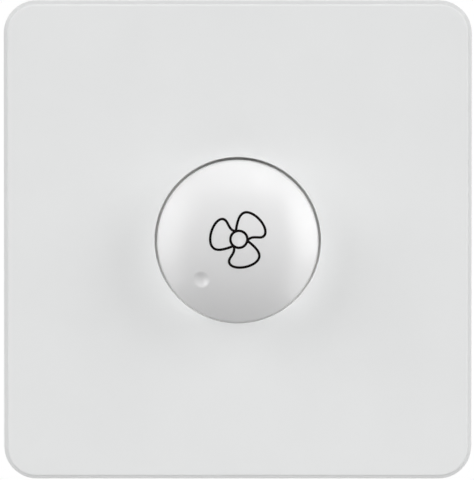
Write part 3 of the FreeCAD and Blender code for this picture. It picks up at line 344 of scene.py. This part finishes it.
finishes["circuit_board"] = laminate(
    "board_laminate", (0.025, 0.14, 0.04), (0.015, 0.1, 0.028), (0.35, 0.25), 320.0
)
finishes["pot_wafer"] = laminate(
    "wafer_laminate", (0.2, 0.095, 0.035), (0.15, 0.07, 0.025), (0.55, 0.42), 240.0
)
print("finishes in all:", len(finishes))

# %% [markdown]
# Each loaded piece has one material slot, so dressing it is one assignment. The script stops if a
# piece was forgotten, because a forgotten piece would keep its flat colour.

# %% Dress the loaded pieces
forgotten = sorted(set(nodes) - set(finishes))
if forgotten:
    raise RuntimeError(f"no finish for {forgotten}")
for name, piece in nodes.items():
    piece.material_slots[0].material = finishes[name]
print("dressed:", len(nodes))

# %% [markdown]
# The sign on the knob is a fan with three blades: a ring for the hub and one open outline for each
# blade, pad-printed in one colour. A picture texture would do it, but it would need unwrapping and
# would blur close up. Here each line of the sign is a thin strip of ink. Its centre line is a
# smooth curve from nine control points, the strip is laid out flat, and every point is then dropped
# straight onto the knob, so it follows the dome. The other two blades are the first one turned by
# a third of a circle. The blade's points are in millimetres, and all other lengths in metres.

# %% Lay out the lines of the sign
INK_WIDTH = 0.00046
HUB_RADIUS = 0.00154
HUB_STEPS = 72
SIGN_CENTRE = Vector((0.0002, 0.00055))
MM_PER_M = 1000
CURVE_ORDER = 4
BLADES = 3
BLADE = (
    (-0.56, 1.42),
    (-0.48, 1.97),
    (-0.15, 4.15),
    (1.31, 5.29),
    (3.69, 3.98),
    (5.19, 1.44),
    (4.32, -0.11),
    (2.2, 0.64),
    (1.53, -0.23),
)


def smooth_line(points):
    """Points along a smooth curve that the given control points pull into shape."""
    curve = bpy.data.curves.new("blade_line", "CURVE")
    spline = curve.splines.new("NURBS")
    spline.points.add(len(points) - 1)
    for control, point in zip(spline.points, points):
        control.co = (point.x, point.y, 0, 1)
    spline.order_u = CURVE_ORDER
    spline.use_endpoint_u = True
    guide = bpy.data.objects.new("blade_line", curve)
    traced = bpy.data.meshes.new_from_object(guide)
    line = [vertex.co.xy for vertex in traced.vertices]
    bpy.data.objects.remove(guide)
    bpy.data.curves.remove(curve)
    bpy.data.meshes.remove(traced)
    return line


def strip_edges(line, closed):
    """The two edges of a strip of ink along a centre line, seen from the front."""
    left, right = [], []
    for index, point in enumerate(line):
        before = line[index - 1] if index or closed else point
        after = line[(index + 1) % len(line)] if index + 1 < len(line) or closed else point
        along = (after - before).normalized()
        out = Vector((-along.y, along.x)) * INK_WIDTH / 2
        left.append(point + out)
        right.append(point - out)
    return left, right


hub = [
    SIGN_CENTRE + HUB_RADIUS * Vector((math.cos(a), math.sin(a)))
    for a in (2 * math.pi * step / HUB_STEPS for step in range(HUB_STEPS))
]
blade_lines = []
for blade in range(BLADES):
    turn = -2 * math.pi * blade / BLADES
    spun = [
        Vector((x * math.cos(turn) - y * math.sin(turn), x * math.sin(turn) + y * math.cos(turn)))
        for x, y in BLADE
    ]
    blade_lines.append(smooth_line([SIGN_CENTRE + point / MM_PER_M for point in spun]))
print("points per line:", len(hub), [len(line) for line in blade_lines])

# %% [markdown]
# Printed ink has a thickness, though only a few hundredths of a millimetre. Each strip gets a
# front, a back and sides, and floats a hair above the knob, so that the two faces never fight for
# the same place in the render.

# %% Print the sign on the knob
INK_LIFT = 0.000012
INK_THICKNESS = 0.00003
INK_SHEEN = 0.05
DROP_START = 0.01


def drop_onto(piece, point, lift):
    """Drop a point of the front view onto a piece, and lift it off a little."""
    start = Vector((point.x, cad_box[0][1] - DROP_START, point.y))
    hit, place, *_ = piece.ray_cast(start, Vector((0, 1, 0)))
    if not hit:
        raise RuntimeError(f"the sign misses the knob at {point}")
    return place + Vector((0, -lift, 0))


def ink_strip(mesh, line, closed):
    """Add one strip of ink with a front, a back and sides to a mesh."""
    knob = nodes["knob"]
    rows = []
    for a, b in zip(*strip_edges(line, closed)):
        front = [mesh.verts.new(drop_onto(knob, p, INK_LIFT + INK_THICKNESS)) for p in (a, b)]
        back = [mesh.verts.new(drop_onto(knob, p, INK_LIFT)) for p in (b, a)]
        rows.append(front + back)
    pairs = list(zip(rows, rows[1:] + rows[:1])) if closed else list(zip(rows, rows[1:]))
    for row, following in pairs:
        for corner in range(len(row)):
            beside = (corner + 1) % len(row)
            mesh.faces.new((row[corner], row[beside], following[beside], following[corner]))
    if not closed:
        mesh.faces.new(rows[0][::-1])
        mesh.faces.new(rows[-1])


sign_mesh = bmesh.new()
ink_strip(sign_mesh, hub, closed=True)
for line in blade_lines:
    ink_strip(sign_mesh, line, closed=False)
bmesh.ops.recalc_face_normals(sign_mesh, faces=sign_mesh.faces)
fan_sign = bpy.data.objects.new("fan_sign", bpy.data.meshes.new("fan_sign"))
sign_mesh.to_mesh(fan_sign.data)
sign_mesh.free()
bpy.context.scene.collection.objects.link(fan_sign)
sign_ink = moulded_plastic(
    "sign_ink", (0.005, 0.003, 0.003), (0.003, 0.002, 0.002), (0.5, 0.65), 9000.0, 1e-6
)
sign_ink.node_tree.nodes["Principled BSDF"].inputs["Specular IOR Level"].default_value = INK_SHEEN
fan_sign.data.materials.append(sign_ink)
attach(fan_sign, "knob")
print("sign:", len(fan_sign.data.polygons), "faces")

# %% [markdown]
# The stage is a white surround and a pale floor well below the part, which hangs as if on its wall.
# The camera and every mirror see white, while the light that the surround gives to rough surfaces
# is set apart, so a white background costs no contrast on the part. The floor is a disc that fades
# out with distance and is clear from below, so no edge of it shows in views from the side or from
# underneath.

# %% Floor and surround
FLOOR_DROP = 0.06
FLOOR_RADIUS = 0.34
FLOOR_CLEAR = 0.1
FLOOR_EDGES = 96
FLOOR_GREY = 0.5
FLOOR_ROUGHNESS = 0.9
FLOOR_GLOW = 0.56
AMBIENT = 0.12


def seen_directly(tree):
    """A mask that is 1 for what the camera, a mirror or glass sees, and 0 for scattered light."""
    path = tree.nodes.new("ShaderNodeLightPath")
    either = tree.nodes.new("ShaderNodeMath")
    either.operation = "MAXIMUM"
    every = tree.nodes.new("ShaderNodeMath")
    every.operation = "MAXIMUM"
    tree.links.new(path.outputs["Is Camera Ray"], either.inputs[0])
    tree.links.new(path.outputs["Is Glossy Ray"], either.inputs[1])
    tree.links.new(either.outputs["Value"], every.inputs[0])
    tree.links.new(path.outputs["Is Transmission Ray"], every.inputs[1])
    return every.outputs["Value"]


bpy.ops.mesh.primitive_circle_add(
    vertices=FLOOR_EDGES,
    radius=FLOOR_RADIUS,
    fill_type="NGON",
    location=(0, 0, cad_box[0][2] - FLOOR_DROP),
)
floor = bpy.context.object
floor.name = "studio_floor"
floor_material, tree, shader = new_material("studio_floor")
shader.inputs["Base Color"].default_value = (FLOOR_GREY, FLOOR_GREY, FLOOR_GREY, 1)
shader.inputs["Roughness"].default_value = FLOOR_ROUGHNESS
shader.inputs["Emission Color"].default_value = (1, 1, 1, 1)
glow = remap(tree, seen_directly(tree), 0.0, FLOOR_GLOW)
tree.links.new(glow, shader.inputs["Emission Strength"])
place = tree.nodes.new("ShaderNodeTexCoord")
reach = tree.nodes.new("ShaderNodeVectorMath")
reach.operation = "LENGTH"
fade = add(tree, "ShaderNodeMapRange", From_Min=FLOOR_RADIUS, From_Max=FLOOR_CLEAR)
fade.interpolation_type = "SMOOTHSTEP"
side = tree.nodes.new("ShaderNodeNewGeometry")
from_above = tree.nodes.new("ShaderNodeMath")
from_above.operation = "SUBTRACT"
from_above.use_clamp = True
tree.links.new(place.outputs["Object"], reach.inputs[0])
tree.links.new(reach.outputs["Value"], fade.inputs["Value"])
tree.links.new(fade.outputs["Result"], from_above.inputs[0])
tree.links.new(side.outputs["Backfacing"], from_above.inputs[1])
tree.links.new(from_above.outputs["Value"], shader.inputs["Alpha"])
floor.data.materials.append(floor_material)

world = bpy.data.worlds.new("white_surround")
bpy.context.scene.world = world
world.use_nodes = True
tree = world.node_tree
surround = tree.nodes["Background"]
tree.links.new(remap(tree, seen_directly(tree), AMBIENT, 1.0), surround.inputs["Strength"])
surround.inputs["Color"].default_value = (1, 1, 1, 1)
print("floor at", round(floor.location.z, 4))

# %% [markdown]
# Soft light for white plastic comes from large panels. One above and in front gives the dome its
# fall from bright to grey, and a low and a high one at each side light the plate and draw its
# bevel. One behind shows the rear, a low one in front lifts the plate, and a small card below
# lifts its lower bevel. Three more will be seen only as reflections, and give the knob its pale
# rims. The brightness of a panel is its power over its area, so the helper takes the brightness
# and works out the power.

# %% Softboxes


def softbox(name, azimuth, rise, size, brightness, distance=1.0):
    """A panel light that faces the part, at angles in degrees seen from the part's front."""
    width, height = size
    light = bpy.data.lights.new(name, "AREA")
    light.shape = "RECTANGLE"
    light.size = width
    light.size_y = height
    light.energy = brightness * math.pi * width * height
    lamp = bpy.data.objects.new(name, light)
    across, up = math.radians(azimuth), math.radians(rise)
    lamp.location = distance * Vector(
        (math.sin(across) * math.cos(up), -math.cos(across) * math.cos(up), math.sin(up))
    )
    lamp.rotation_euler = (-lamp.location).to_track_quat("-Z", "Y").to_euler()
    lamp.visible_camera = False
    bpy.context.scene.collection.objects.link(lamp)
    return lamp


top_panel = softbox("top_panel", -6, 56, (0.9, 0.6), 2.05)
left_low = softbox("left_low", -60, 8, (0.5, 0.8), 1.95)
right_low = softbox("right_low", 60, 8, (0.5, 0.8), 2.4)
softbox("left_high", -58, 25, (0.6, 0.7), 2.35)
softbox("right_high", 60, 25, (0.5, 0.7), 2.95)
rear_panel = softbox("rear_panel", 180, 6, (1.2, 1.0), 7.0, distance=2.0)
front_low = softbox("front_low", 0, -40, (0.9, 0.6), 0.8)
low_card = softbox("low_card", 180, -75, (0.14, 0.04), 0.9, distance=0.093)
left_rim = softbox("left_rim", -66, -14, (0.5, 0.7), 2.0)
right_rim = softbox("right_rim", 64, -17, (0.5, 1.0), 2.8)
upper_rim = softbox("upper_rim", 36, 46, (0.35, 0.35), 2.4)
lamps = [item for item in bpy.context.scene.objects if item.type == "LIGHT"]
print("lamps:", [(lamp.name, round(lamp.data.energy, 2)) for lamp in lamps])

# %% [markdown]
# In the photograph the plate is even right up to the knob, and only a fine dark line shows where
# the gap is. Plain lamps can't do that, because the knob throws shadows on the plate and sends
# bounced light back to it. Light linking can: for each lamp it says which pieces are lit and which
# ones cast a shadow. The knob casts no shadow in three of the panels, the low front panel lights
# everything but the knob, and the rim panels light the knob alone. The low front panel and the rim
# panels also shine past the floor, because most of them hang lower than it does. The last loop
# keeps the panels that only fill in out of the reflections.

# %% Choose what each lamp lights


def link_set(name, pieces, state):
    """A set of pieces that a lamp leaves out, with EXCLUDE, or keeps to, with INCLUDE."""
    pieces_set = bpy.data.collections.new(name)
    for piece in pieces:
        pieces_set.objects.link(piece)
    for entry in pieces_set.collection_objects:
        entry.light_linking.link_state = state
    return pieces_set


knob_and_sign = (nodes["knob"], fan_sign)
all_but_knob = link_set("all_but_knob", knob_and_sign, "EXCLUDE")
all_but_floor = link_set("all_but_floor", (floor,), "EXCLUDE")
knob_alone = link_set("knob_alone", knob_and_sign, "INCLUDE")
for lamp in (top_panel, left_low, right_low):
    lamp.light_linking.blocker_collection = all_but_knob
front_low.light_linking.receiver_collection = all_but_knob
front_low.light_linking.blocker_collection = all_but_floor
for lamp in (left_rim, right_rim, upper_rim):
    lamp.light_linking.receiver_collection = knob_alone
    lamp.light_linking.blocker_collection = all_but_floor
    lamp.visible_diffuse = False
for lamp in (rear_panel, front_low, low_card):
    lamp.visible_glossy = False
print("link sets:", [pieces.name for pieces in (all_but_knob, all_but_floor, knob_alone)])

# %% [markdown]
# The photograph was taken square on with a long lens, a touch from above. The lens follows from
# the distance and the width of wall that the picture takes in, so moving the camera doesn't change
# the size of the plate in the frame.

# %% Camera
CAMERA_DISTANCE = 1.0
CAMERA_RISE = math.radians(1.8)
SENSOR_WIDTH = 36.0
FRAME_WIDTH = 0.0872
SILHOUETTE_Y = -0.0055
FRAME_SHIFT = Vector((-0.00014, 0.0, -0.00022))

camera_data = bpy.data.cameras.new("camera")
camera_data.sensor_fit = "HORIZONTAL"
camera_data.sensor_width = SENSOR_WIDTH
camera_data.lens = SENSOR_WIDTH * (CAMERA_DISTANCE + SILHOUETTE_Y) / FRAME_WIDTH
camera = bpy.data.objects.new("camera", camera_data)
toward = Vector((0, -math.cos(CAMERA_RISE), math.sin(CAMERA_RISE)))
camera.location = toward * CAMERA_DISTANCE + FRAME_SHIFT
camera.rotation_euler = (-toward).to_track_quat("-Z", "Y").to_euler()
bpy.context.scene.collection.objects.link(camera)
bpy.context.scene.camera = camera
bpy.context.scene.view_settings.view_transform = "Standard"
print("lens:", round(camera_data.lens, 1), "mm")
